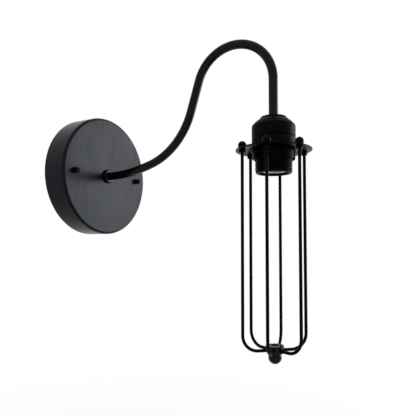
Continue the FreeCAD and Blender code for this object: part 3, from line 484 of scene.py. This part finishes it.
@dataclass
class FinishBook:
    """Every finish of the light, made once.

    Each is found by the name of the record's slot that it is for. The ring plate, the
    wires and the wires' nuts have a duller copy of the arm's enamel, its colours painted
    darker as shade, though their slot is the arm's.
    """

    made: dict[str, bpy.types.Material] = field(default_factory=dict)

    def fill(self) -> None:
        """Make all finishes."""
        finishes: dict[str, Finish] = {
            "satin_black_steel": PowderCoat(),
            "gloss_black_steel": StoveEnamel(),
            # the cage's enamel: duller, with body and edge colours painted darker as shade
            "dull_black_cage": StoveEnamel("dipped_black_enamel", body="#060607", thin="#101011",
                                           roughness=(0.24, 0.32), specular=0.03),
            "black_phenolic": Phenolic(),
            "zinc_steel": PlatedMetal("zinc_plated_steel", bright="#C9CCD0", dull="#9DA1A6",
                                      roughness=(0.24, 0.42), line_mm=0.5, lay=Lay.ALONG_X),
            "brass": PlatedMetal("bare_brass", bright="#D9B26A", dull="#A9833F",
                                 roughness=(0.22, 0.40), line_mm=0.4, lay=Lay.ALONG_Z),
            "nickel_shell": PlatedMetal("nickel_plated_brass", bright="#D2CCC0", dull="#ADA595",
                                        roughness=(0.14, 0.30), line_mm=0.6, lay=Lay.ALONG_Z),
            "spring_steel": PlatedMetal("drawn_spring_steel", bright="#A6A8AB", dull="#74777B",
                                        roughness=(0.22, 0.38), line_mm=0.3, lay=Lay.ALONG_Z),
            "brown_pvc": Insulation("brown_pvc_sleeve", ground="#5A3420", shade="#482817"),
            "blue_pvc": Insulation("blue_pvc_sleeve", ground="#2C63B4", shade="#224F95"),
            "earth_pvc": Insulation("green_yellow_pvc_sleeve", ground="#2F8A3C", shade="#27742F",
                                    stripe="#E8CF2A"),
            "white_nylon": Moulding("natural_nylon", pale="#EEEAE0", shade="#DDD7C8",
                                    roughness=(0.30, 0.42), grain_mm=2.4, soak=0.25, ior=1.53),
            "pale_phenolic": Moulding("fired_steatite", pale="#E2DACA", shade="#CBC1AE",
                                      roughness=(0.52, 0.68), grain_mm=0.6, soak=0.0, ior=1.58),
        }
        self.made = {name: finish.material() for name, finish in finishes.items()}

    def slot_of(self, node: str) -> str:
        """Find a node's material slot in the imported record."""
        rows = frame["record"]["subparts"]
        return next(row["material_slot"] for row in rows if row["node"] == node)

    def dress(self, piece: bpy.types.Object, finish: str) -> None:
        """Put one finish all over a piece.

        Args:
            piece: The object to dress.
            finish: Its name in this book.
        """
        piece.data.materials.clear()
        piece.data.materials.append(self.made[finish])

    def dress_node(self, node: str, crease: Crease | None = None) -> None:
        """Give a CAD node its finish and smooth shading, and keep its shape.

        Args:
            node: The CAD node.
            crease: Which of its edges stay crisp, none if left out.
        """
        piece = NODES[node]
        self.dress(piece, self.slot_of(node))
        piece.data.shade_smooth()
        if crease:
            smooth_by_angle(piece, crease)
        LOG.info("dressed %s", node)


# ---- mesh helpers -----------------------------------------------------------
def new_piece(name: str, verts: list[Vector], faces: list[list[int]]) -> bpy.types.Object:
    """Make an object from points and faces, smooth where it is nearly flat.

    Args:
        name: The piece's name.
        verts: Points in metres.
        faces: Corner numbers of each face.

    Returns:
        The new object, linked to the scene.
    """
    mesh = bpy.data.meshes.new(name)
    mesh.from_pydata([tuple(v) for v in verts], [], faces)
    mesh.validate()
    work = bmesh.new()
    work.from_mesh(mesh)
    bmesh.ops.recalc_face_normals(work, faces=work.faces)
    work.to_mesh(mesh)
    work.free()
    piece = bpy.data.objects.new(name, mesh)
    bpy.context.scene.collection.objects.link(piece)
    smooth_by_angle(piece, Crease.NEW)
    return piece


def apply_modifiers(piece: bpy.types.Object) -> None:
    """Bake a piece's modifiers into its mesh.

    Args:
        piece: The object whose modifiers are used up.
    """
    graph = bpy.context.evaluated_depsgraph_get()
    done = bpy.data.meshes.new_from_object(piece.evaluated_get(graph))
    done.name = piece.name
    piece.modifiers.clear()
    piece.data = done


def softened(node: str, width_mm: float, book: FinishBook) -> bpy.types.Object:
    """Stand in for a CAD node with the same shape and its sharp edges broken.

    Args:
        node: The CAD node.
        width_mm: How wide the broken edge is.
        book: The finishes.

    Returns:
        The piece that replaces the node.
    """
    source = NODES[node]
    mesh = source.data.copy()
    work = bmesh.new()
    work.from_mesh(mesh)
    bmesh.ops.remove_doubles(work, verts=work.verts, dist=WELD_MM * MM)
    bmesh.ops.dissolve_limit(work, angle_limit=math.radians(FLAT_DEG), verts=work.verts,
                             edges=work.edges)
    work.to_mesh(mesh)
    work.free()
    piece = bpy.data.objects.new(node + "_finished", mesh)
    bpy.context.scene.collection.objects.link(piece)
    bevel = piece.modifiers.new("broken_edges", "BEVEL")
    bevel.width = width_mm * MM
    bevel.segments = BREAK_STEPS
    bevel.limit_method = "ANGLE"
    bevel.angle_limit = math.radians(BREAK_DEG)
    bevel.use_clamp_overlap = True
    bpy.context.view_layer.update()
    apply_modifiers(piece)
    smooth_by_angle(piece, Crease.BROKEN)
    stand_for(piece, [node], book)
    return piece


def stand_for(piece: bpy.types.Object, nodes: list[str], book: FinishBook) -> None:
    """Let a piece replace CAD nodes, ride on their body and take their finish.

    Args:
        piece: The new piece, already in place.
        nodes: CAD nodes on one body with one slot.
        book: The finishes.
    """
    slot = book.slot_of(nodes[0])
    book.dress(piece, slot)
    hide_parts(*nodes)
    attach(piece, NODES[nodes[0]]["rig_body"])
    LOG.info("made %s for %s", piece.name, ", ".join(nodes))


def joined(name: str, pieces: list[bpy.types.Object]) -> bpy.types.Object:
    """Join several new pieces into one object.

    Args:
        name: The joined object's name.
        pieces: Objects at the origin, which are used up.

    Returns:
        The joined object.
    """
    work = bmesh.new()
    for piece in pieces:
        work.from_mesh(piece.data)
        bpy.data.objects.remove(piece)
    mesh = bpy.data.meshes.new(name)
    work.to_mesh(mesh)
    work.free()
    whole = bpy.data.objects.new(name, mesh)
    bpy.context.scene.collection.objects.link(whole)
    return whole


def middle(node: str) -> Vector:
    """Centre of a CAD node's box."""
    low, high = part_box(node)
    return (low + high) / 2


@dataclass(frozen=True)
class Thread:
    """A rounded right-handed screw thread on a round wall, in millimetres."""

    crest_r: float
    root_r: float
    pitch: float
    fullness: float             # how flat crest and root are

    def radius(self, angle: float, height: float, fade: float) -> float:
        """Radius in millimetres at one place.

        Args:
            angle: Round the axis, radians.
            height: Along the axis, millimetres.
            fade: 1 on the full thread, 0 where it has run out to the root.

        Returns:
            The wall's radius there.
        """
        phase = height / self.pitch - angle / (2 * math.pi)
        wave = math.tanh(self.fullness * math.cos(2 * math.pi * phase)) / math.tanh(self.fullness)
        lift = fade * (0.5 + 0.5 * wave)
        return self.root_r + (self.crest_r - self.root_r) * lift


Ring = tuple[float, Callable[[float], float]]


def skin_faces(rows: int, sides: int, closed: bool) -> list[list[int]]:
    """Faces that join rows of points, each of which goes once round.

    Args:
        rows: How many rows follow each other.
        sides: Points in a row.
        closed: Joins the last row to the first, else both ends are capped.

    Returns:
        Corner numbers of each face.
    """
    faces: list[list[int]] = []
    for j in range(rows if closed else rows - 1):
        above = (j + 1) % rows
        for i in range(sides):
            beside = (i + 1) % sides
            faces.append([j * sides + i, j * sides + beside, above * sides + beside, above * sides + i])
    if not closed:
        faces.append(list(range(sides)))
        faces.append([(rows - 1) * sides + i for i in range(sides)])
    return faces


def rings_mesh(name: str, rings: list[Ring], base: Vector, turn: Matrix, sides: int,
               closed: bool) -> bpy.types.Object:
    """Join rings round one axis into a skin.

    Args:
        name: The piece's name.
        rings: Heights in millimetres, each with the radius as a function of angle.
        base: Where height 0 lies, in metres.
        turn: Turns the up axis to the piece's own.
        sides: Points on each ring.
        closed: Joins the last ring to the first, else both ends are capped.

    Returns:
        The new object.
    """
    verts: list[Vector] = []
    for height, radius in rings:
        for i in range(sides):
            angle = 2 * math.pi * i / sides
            r = radius(angle)
            flat = Vector((r * math.cos(angle), r * math.sin(angle), height)) * MM
            verts.append(base + turn @ flat)
    return new_piece(name, verts, skin_faces(len(rings), sides, closed))


def plain(radius: float) -> Callable[[float], float]:
    """A ring of one radius."""
    return lambda angle: radius


def smoothstep(low: float, high: float, value: float) -> float:
    """Ease from 0 at low to 1 at high."""
    share = min(1.0, max(0.0, (value - low) / (high - low)))
    return share * share * (3 - 2 * share)


def thread_rings(thread: Thread, low: float, high: float, lead_in: float, run_out: float,
                 per_pitch: int) -> list[Ring]:
    """Rings of a threaded stretch whose ends taper off to the root.

    Args:
        thread: The thread's form.
        low: Where the stretch starts, millimetres.
        high: Where it ends.
        lead_in: Length of the taper at the low end.
        run_out: Length of the taper at the high end.
        per_pitch: Rings in one pitch.

    Returns:
        The rings from low to high.
    """
    rings: list[Ring] = []
    count = max(2, round((high - low) / thread.pitch * per_pitch))
    for j in range(count + 1):
        height = low + (high - low) * j / count
        fade = smoothstep(low, low + lead_in, height) * (1 - smoothstep(high - run_out, high, height))
        rings.append((height, lambda angle, z=height, f=fade: thread.radius(angle, z, f)))
    return rings


# ---- sub-assemblies ---------------------------------------------------------
@dataclass
class WallPlate:
    """Canopy, strap, studs and their nuts."""

    book: FinishBook
    edge_mm: float = 0.25
    nut_edge_mm: float = 0.35
    stud: Thread = Thread(crest_r=2.0, root_r=1.66, pitch=0.7, fullness=1.1)
    stud_rings: int = 6         # in one pitch
    stud_sides: int = 28

    def build(self) -> None:
        """Dress the canopy and break the edges of what carries it."""
        self.book.dress_node("canopy")
        softened("mounting_strap", self.edge_mm, self.book)
        for node in ("canopy_cap_nuts", "stud_lock_nuts", "arm_lock_nut"):
            softened(node, self.nut_edge_mm, self.book)
        softened("arm_washer", self.edge_mm, self.book)
        self.studs()

    def studs(self) -> None:
        """Thread both studs along their whole length."""
        low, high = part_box("canopy_studs")
        length = (high.y - low.y) / MM
        turn = Matrix.Rotation(math.pi / 2, 3, "X")
        pieces: list[bpy.types.Object] = []
        for x in (low.x + self.stud.crest_r * MM, high.x - self.stud.crest_r * MM):
            rings = thread_rings(self.stud, 0.0, length, self.stud.pitch, self.stud.pitch,
                                 self.stud_rings)
            base = Vector((x, high.y, (low.z + high.z) / 2))
            pieces.append(rings_mesh("stud", rings, base, turn, self.stud_sides, closed=False))
        stand_for(joined("canopy_studs_threaded", pieces), ["canopy_studs"], self.book)


@dataclass
class Wiring:
    """Terminals and leads behind the canopy and inside the arm."""

    book: FinishBook
    block_edge_mm: float = 0.3
    screw_edge_mm: float = 0.12

    def build(self) -> None:
        """Dress the leads and break the edges of the terminals."""
        for node in ("live_lead", "neutral_lead", "earth_lead", "earth_lug"):
            self.book.dress_node(node, Crease.ROUND)
        softened("terminal_block", self.block_edge_mm, self.book)
        for node in ("terminal_screws", "block_fixing_screw", "earth_screw"):
            softened(node, self.screw_edge_mm, self.book)


@dataclass
class SwanNeck:
    """The bent tube and the collar nut at its root."""

    book: FinishBook
    collar_edge_mm: float = 0.2

    def build(self) -> None:
        """Dress the tube and its collar."""
        self.book.dress_node("arm_tube", Crease.ROUND)
        softened("arm_collar", self.collar_edge_mm, self.book)


@dataclass
class Lampholder:
    """Cap, threaded skirt, contacts and shell, in millimetres.

    The skirt's heights are from its mouth, and the shell's from its rim.
    """

    book: FinishBook
    shade_thread: Thread = Thread(crest_r=19.75, root_r=18.5, pitch=2.5, fullness=0.9)
    lamp_thread: Thread = Thread(crest_r=13.3, root_r=12.4, pitch=3.6, fullness=0.9)
    bore_r: float = 15.3
    lip: float = 0.6            # bevel round the bore's mouth
    mouth_edge: float = 0.3     # bevel outside, below the thread
    thread_margin: float = 0.4  # from the mouth and the seat to the thread
    thread_lead_in: float = 1.6
    thread_run_out: float = 1.2
    skirt_rings: int = 12       # in one pitch
    skirt_sides: int = 128
    seat_gap: float = 0.3       # between the ring plate and the band
    band_r: float = 23.15
    band_foot: float = 1.0      # radius of the band's rounded foot
    seam_gap: float = 0.2       # between the band and the cap
    seam_step: float = 0.5      # bevel along the seam
    spigot_r: float = 20.15
    spigot_wall: float = 2.3
    ledge: float = 23.5         # height where the bore widens
    shell_wall: float = 0.5
    shell_rim: float = 0.8      # flared rim below the rolled thread
    shell_taper: float = 1.5    # at each end of the rolled thread
    shell_rings: int = 14       # in one pitch
    shell_sides: int = 96
    button_room_r: float = 5.6  # hole in the shell's end wall
    contact_edge_mm: float = 0.1
    spring_wire: float = 0.5
    spring_turns: int = 3
    spring_steps: int = 32      # sections in one turn
    spring_sides: int = 10
    press: float = 1.2          # how far the button goes in

    def build(self) -> None:
        """Make the threaded pieces and dress the rest."""
        self.book.dress_node("holder_cap", Crease.ROUND)
        self.skirt()
        self.shell()
        self.spring()
        for node in ("entry_bush", "contact_block", "centre_contact"):
            self.book.dress_node(node, Crease.ROUND)
        for node in ("side_contact", "live_tag", "contact_screws"):
            softened(node, self.contact_edge_mm, self.book)

    def skirt(self) -> None:
        """The lower shell with its outside thread cut in full."""
        low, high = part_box("holder_skirt")
        seat = (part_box("ring_plate")[1].z - low.z) / MM + self.seat_gap
        top = (high.z - low.z) / MM
        seam = (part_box("holder_cap")[0].z - low.z) / MM - self.seam_gap
        thread = self.shade_thread
        foot = self.band_foot
        corner_in = 1 - math.sqrt(0.5)      # how far in a round's middle is, for a radius of 1
        room_r = self.spigot_r - self.spigot_wall
        rings: list[Ring] = [
            (self.ledge, plain(self.bore_r)),
            (self.lip, plain(self.bore_r)),
            (0.0, plain(self.bore_r + self.lip)),
            (0.0, plain(thread.root_r - self.mouth_edge)),
            (self.mouth_edge, plain(thread.root_r)),
        ]
        rings += thread_rings(thread, self.thread_margin, seat - self.thread_margin,
                              self.thread_lead_in, self.thread_run_out, self.skirt_rings)
        rings += [
            (seat, plain(thread.root_r)),
            (seat, plain(self.band_r - foot)),
            (seat + foot * corner_in, plain(self.band_r - foot * corner_in)),
            (seat + foot, plain(self.band_r)),
            (seam - self.seam_step, plain(self.band_r)),
            (seam, plain(self.band_r - self.seam_step)),
            (seam, plain(self.spigot_r)),
            (top, plain(self.spigot_r)),
            (top, plain(room_r)),
            (self.ledge, plain(room_r)),
        ]
        base = Vector((middle("holder_skirt").x, middle("holder_skirt").y, low.z))
        piece = rings_mesh("holder_skirt_threaded", rings, base, Matrix.Identity(3),
                           self.skirt_sides, closed=True)
        stand_for(piece, ["holder_skirt"], self.book)

    def spring(self) -> None:
        """The coil over the button. The real coil shortens as the button is pressed; this one keeps one
        length.
        """
        low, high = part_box("contact_spring")
        wire_r = self.spring_wire / 2 * MM
        coil_r = (high.x - low.x) / 2 - wire_r
        centre = (low + high) / 2
        steps = self.spring_turns * self.spring_steps
        up = Vector((0, 0, 1))
        verts: list[Vector] = []
        for j in range(steps + 1):
            turn = 2 * math.pi * j / self.spring_steps
            outward = Vector((math.cos(turn), math.sin(turn), 0))
            lift = low.z + wire_r + (high.z - low.z - 2 * wire_r) * j / steps
            spot = Vector((centre.x, centre.y, lift)) + outward * coil_r
            for i in range(self.spring_sides):
                angle = 2 * math.pi * i / self.spring_sides
                verts.append(spot + (outward * math.cos(angle) + up * math.sin(angle)) * wire_r)
        faces = skin_faces(steps + 1, self.spring_sides, closed=False)
        coil = new_piece("contact_spring_coil", verts, faces)
        stand_for(coil, ["contact_spring"], self.book)
        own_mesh(coil)

    def shell(self) -> None:
        """The rolled shell that takes the lamp's base."""
        low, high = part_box("screw_shell")
        height = (high.z - low.z) / MM
        wall = self.shell_wall
        end = height - wall
        inner = self.lamp_thread
        outer = Thread(inner.crest_r + wall, inner.root_r + wall, inner.pitch, inner.fullness)
        inside, outside = (
            thread_rings(thread, self.shell_rim, end, self.shell_taper, self.shell_taper,
                         self.shell_rings)
            for thread in (inner, outer))
        rings: list[Ring] = [(0.0, plain(inner.crest_r))]
        rings += inside
        rings += [
            (end, plain(self.button_room_r)),
            (height, plain(self.button_room_r)),
            (height, plain(outer.root_r)),
        ]
        rings += reversed(outside)
        rings += [(0.0, plain(outer.crest_r))]
        base = Vector((middle("screw_shell").x, middle("screw_shell").y, low.z))
        piece = rings_mesh("screw_shell_rolled", rings, base, Matrix.Identity(3),
                           self.shell_sides, closed=True)
        stand_for(piece, ["screw_shell"], self.book)


@dataclass
class Cage:
    """Clamping collar, ring plate, six wires, hub, ball and their nuts."""

    book: FinishBook
    wires: int = 6
    collar_edge_mm: float = 0.25
    nut_edge_mm: float = 0.3
    plate_edge_mm: float = 0.18

    def build(self) -> None:
        """Dress the cage and break the edges that show."""
        softened("shade_collar", self.collar_edge_mm, self.book)
        softened("hub_screw", self.plate_edge_mm, self.book)
        softened("cage_hub", self.plate_edge_mm, self.book)
        for node in ("wire_dome_nuts", "ball_nut"):
            self.book.dress_node(node, Crease.BALL)
        # these take the duller enamel, whose darker colours are painted shade
        dull: list[bpy.types.Object] = [
            softened("ring_plate", self.plate_edge_mm, self.book),
            softened("wire_under_nuts", self.nut_edge_mm, self.book),
            NODES["wire_dome_nuts"],
        ]
        for i in range(self.wires):
            wire = NODES[f"cage_wire_{i + 1}"]
            self.book.dress_node(wire.name, Crease.ROUND)
            dull.append(wire)
        for piece in dull:
            self.book.dress(piece, "dull_black_cage")


# ---- studio -----------------------------------------------------------------
@dataclass(frozen=True)
class Softbox:
    """A rectangular lamp with a diffuser, aimed at a point, in metres."""

    name: str
    place: tuple[float, float, float]
    aim: tuple[float, float, float]
    size: tuple[float, float]
    watts: float

    def put_up(self) -> None:
        """Add the lamp to the scene."""
        lamp = bpy.data.lights.new(self.name, "AREA")
        lamp.shape = "RECTANGLE"
        lamp.size, lamp.size_y = self.size
        lamp.energy = self.watts
        holder = bpy.data.objects.new(self.name, lamp)
        holder.location = self.place
        direction = Vector(self.aim) - Vector(self.place)
        holder.rotation_euler = direction.to_track_quat("-Z", "Y").to_euler()
        holder.visible_camera = False
        bpy.context.scene.collection.objects.link(holder)


def seen_ray(s: Sketch) -> bpy.types.NodeSocket:
    """Draw a switch that is 1 on rays from the camera, a mirror or a clear piece.

    Args:
        s: The node tree that it goes into.

    Returns:
        The switch's output.
    """
    rays = s.add("ShaderNodeLightPath")
    mirror = s.add("ShaderNodeMath", {"operation": "MAXIMUM"},
                   in0=rays.outputs["Is Glossy Ray"], in1=rays.outputs["Is Transmission Ray"])
    seen = s.add("ShaderNodeMath", {"operation": "MAXIMUM"},
                 in0=rays.outputs["Is Camera Ray"], in1=mirror.outputs[0])
    return seen.outputs[0]


@dataclass(frozen=True)
class PaperFloor(Finish):
    """Matt paper, which the camera and every mirror see as nearly plain white.

    Part of what they see is the paper's own shading, so the object's shadow stays on
    it. That part fades out away from the object, so the sheet has no edge against the
    white world. Matt surfaces see the paper as grey, so it throws little light on them.
    """

    name: str = "pale_paper_floor"
    fibre: str = "#FBFBFB"
    sheet: str = "#FFFFFF"
    thrown: str = "#5A5A5A"     # its colour to matt surfaces
    fibre_mm: float = 4.0       # drawn coarse
    fade: tuple[float, float] = (0.3, 1.6)      # metres from the frame's origin
    glow: tuple[float, float] = (0.75, 1.0)     # share of plain white at the ends of the fade

    def draw(self, s: Sketch) -> bpy.types.Node:
        """Draw the paper.

        Args:
            s: The material's node tree.

        Returns:
            The shader node.
        """
        place = s.add("ShaderNodeTexCoord").outputs["Object"]
        grain = s.add("ShaderNodeTexNoise", Vector=place, Scale=per_metre(self.fibre_mm))
        paper = s.add("ShaderNodeValToRGB", {"stops": [(0.2, self.fibre), (0.8, self.sheet)]},
                      in0=grain.outputs[0])
        seen = seen_ray(s)
        colour = s.add("ShaderNodeMix", {"data_type": "RGBA"}, Factor=seen,
                       in6=linear(self.thrown), in7=paper.outputs[0])
        matt = s.add("ShaderNodeBsdfDiffuse", Color=colour.outputs[2])
        white = s.add("ShaderNodeEmission", Color=WHITE, Strength=1.0)
        away = s.add("ShaderNodeVectorMath", {"operation": "LENGTH"}, in0=place)
        share = s.add("ShaderNodeMapRange", {"interpolation_type": "SMOOTHSTEP"},
                      Value=away.outputs["Value"], From_Min=self.fade[0], From_Max=self.fade[1],
                      To_Min=self.glow[0], To_Max=self.glow[1])
        part = s.add("ShaderNodeMath", {"operation": "MULTIPLY"}, in0=seen, in1=share.outputs[0])
        return s.add("ShaderNodeMixShader", in0=part.outputs[0], in1=matt.outputs[0],
                     in2=white.outputs[0])


@dataclass
class Studio:
    """Camera, softbox, pale floor and white surroundings.

    Sizes are in metres and radians where their names give no unit.
    """

    image_px: float = 416.0
    focal_px: float = 445.28
    centre_px: tuple[float, float] = (215.52, 221.22)
    eye: tuple[float, float, float] = (-0.4393, -0.4304, -0.0873)
    yaw: float = 1.071
    pitch: float = 0.05
    sensor_mm: float = 36.0
    near_clip: float = 0.01
    floor_z: float = -0.62
    floor_half: float = 3.0
    softbox: Softbox = Softbox("right_softbox", place=(1.31, -1.31, 0.2), aim=(0, -0.05, 0),
                               size=(0.7, 1.0), watts=16.0)
    world_light: float = 0.55   # what the surroundings cast on matt surfaces

    def build(self) -> None:
        """Set up the camera, the softbox, the floor and the world."""
        self.camera()
        self.softbox.put_up()
        self.floor()
        self.world()
        bpy.context.scene.view_settings.view_transform = "Standard"

    def camera(self) -> None:
        """Place the camera where the picture was taken from."""
        data = bpy.data.cameras.new("picture_camera")
        data.sensor_width = self.sensor_mm
        data.lens = self.focal_px / self.image_px * self.sensor_mm
        half = self.image_px / 2
        data.shift_x = -(self.centre_px[0] - half) / self.image_px
        data.shift_y = (self.centre_px[1] - half) / self.image_px
        data.clip_start = self.near_clip
        eye = bpy.data.objects.new("picture_camera", data)
        eye.location = self.eye
        level = math.cos(self.pitch)
        forward = Vector((math.sin(self.yaw) * level, math.cos(self.yaw) * level, math.sin(self.pitch)))
        eye.rotation_euler = forward.to_track_quat("-Z", "Y").to_euler()
        bpy.context.scene.collection.objects.link(eye)
        bpy.context.scene.camera = eye

    def floor(self) -> None:
        """A plain pale floor well below the light."""
        h = self.floor_half
        corners = [Vector((x, y, self.floor_z)) for x, y in ((-h, -h), (h, -h), (h, h), (-h, h))]
        sheet = new_piece("floor", corners, [[0, 1, 2, 3]])
        sheet.data.materials.append(PaperFloor().material())

    def world(self) -> None:
        """White surroundings, the same to the camera and to every mirror.

        Matt surfaces get a plain level of light from them.
        """
        world = bpy.data.worlds.new("studio")
        bpy.context.scene.world = world
        s = Sketch(world)
        lit = s.add("ShaderNodeBackground", Color=WHITE, Strength=self.world_light)
        white = s.add("ShaderNodeBackground", Color=WHITE, Strength=1.0)
        shown = s.add("ShaderNodeMixShader", in0=seen_ray(s), in1=lit.outputs[0],
                      in2=white.outputs[0])
        s.add("ShaderNodeOutputWorld", in0=shown.outputs[0])


def main() -> None:
    """Build every sub-assembly's looks around the frame."""
    logging.basicConfig(level=logging.INFO, format="%(message)s")
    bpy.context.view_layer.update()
    book = FinishBook()
    book.fill()
    Studio().build()
    for assembly in (WallPlate(book), Wiring(book), SwanNeck(book), Lampholder(book), Cage(book)):
        assembly.build()
    bpy.context.view_layer.update()


if __name__ == "__main__":
    main()
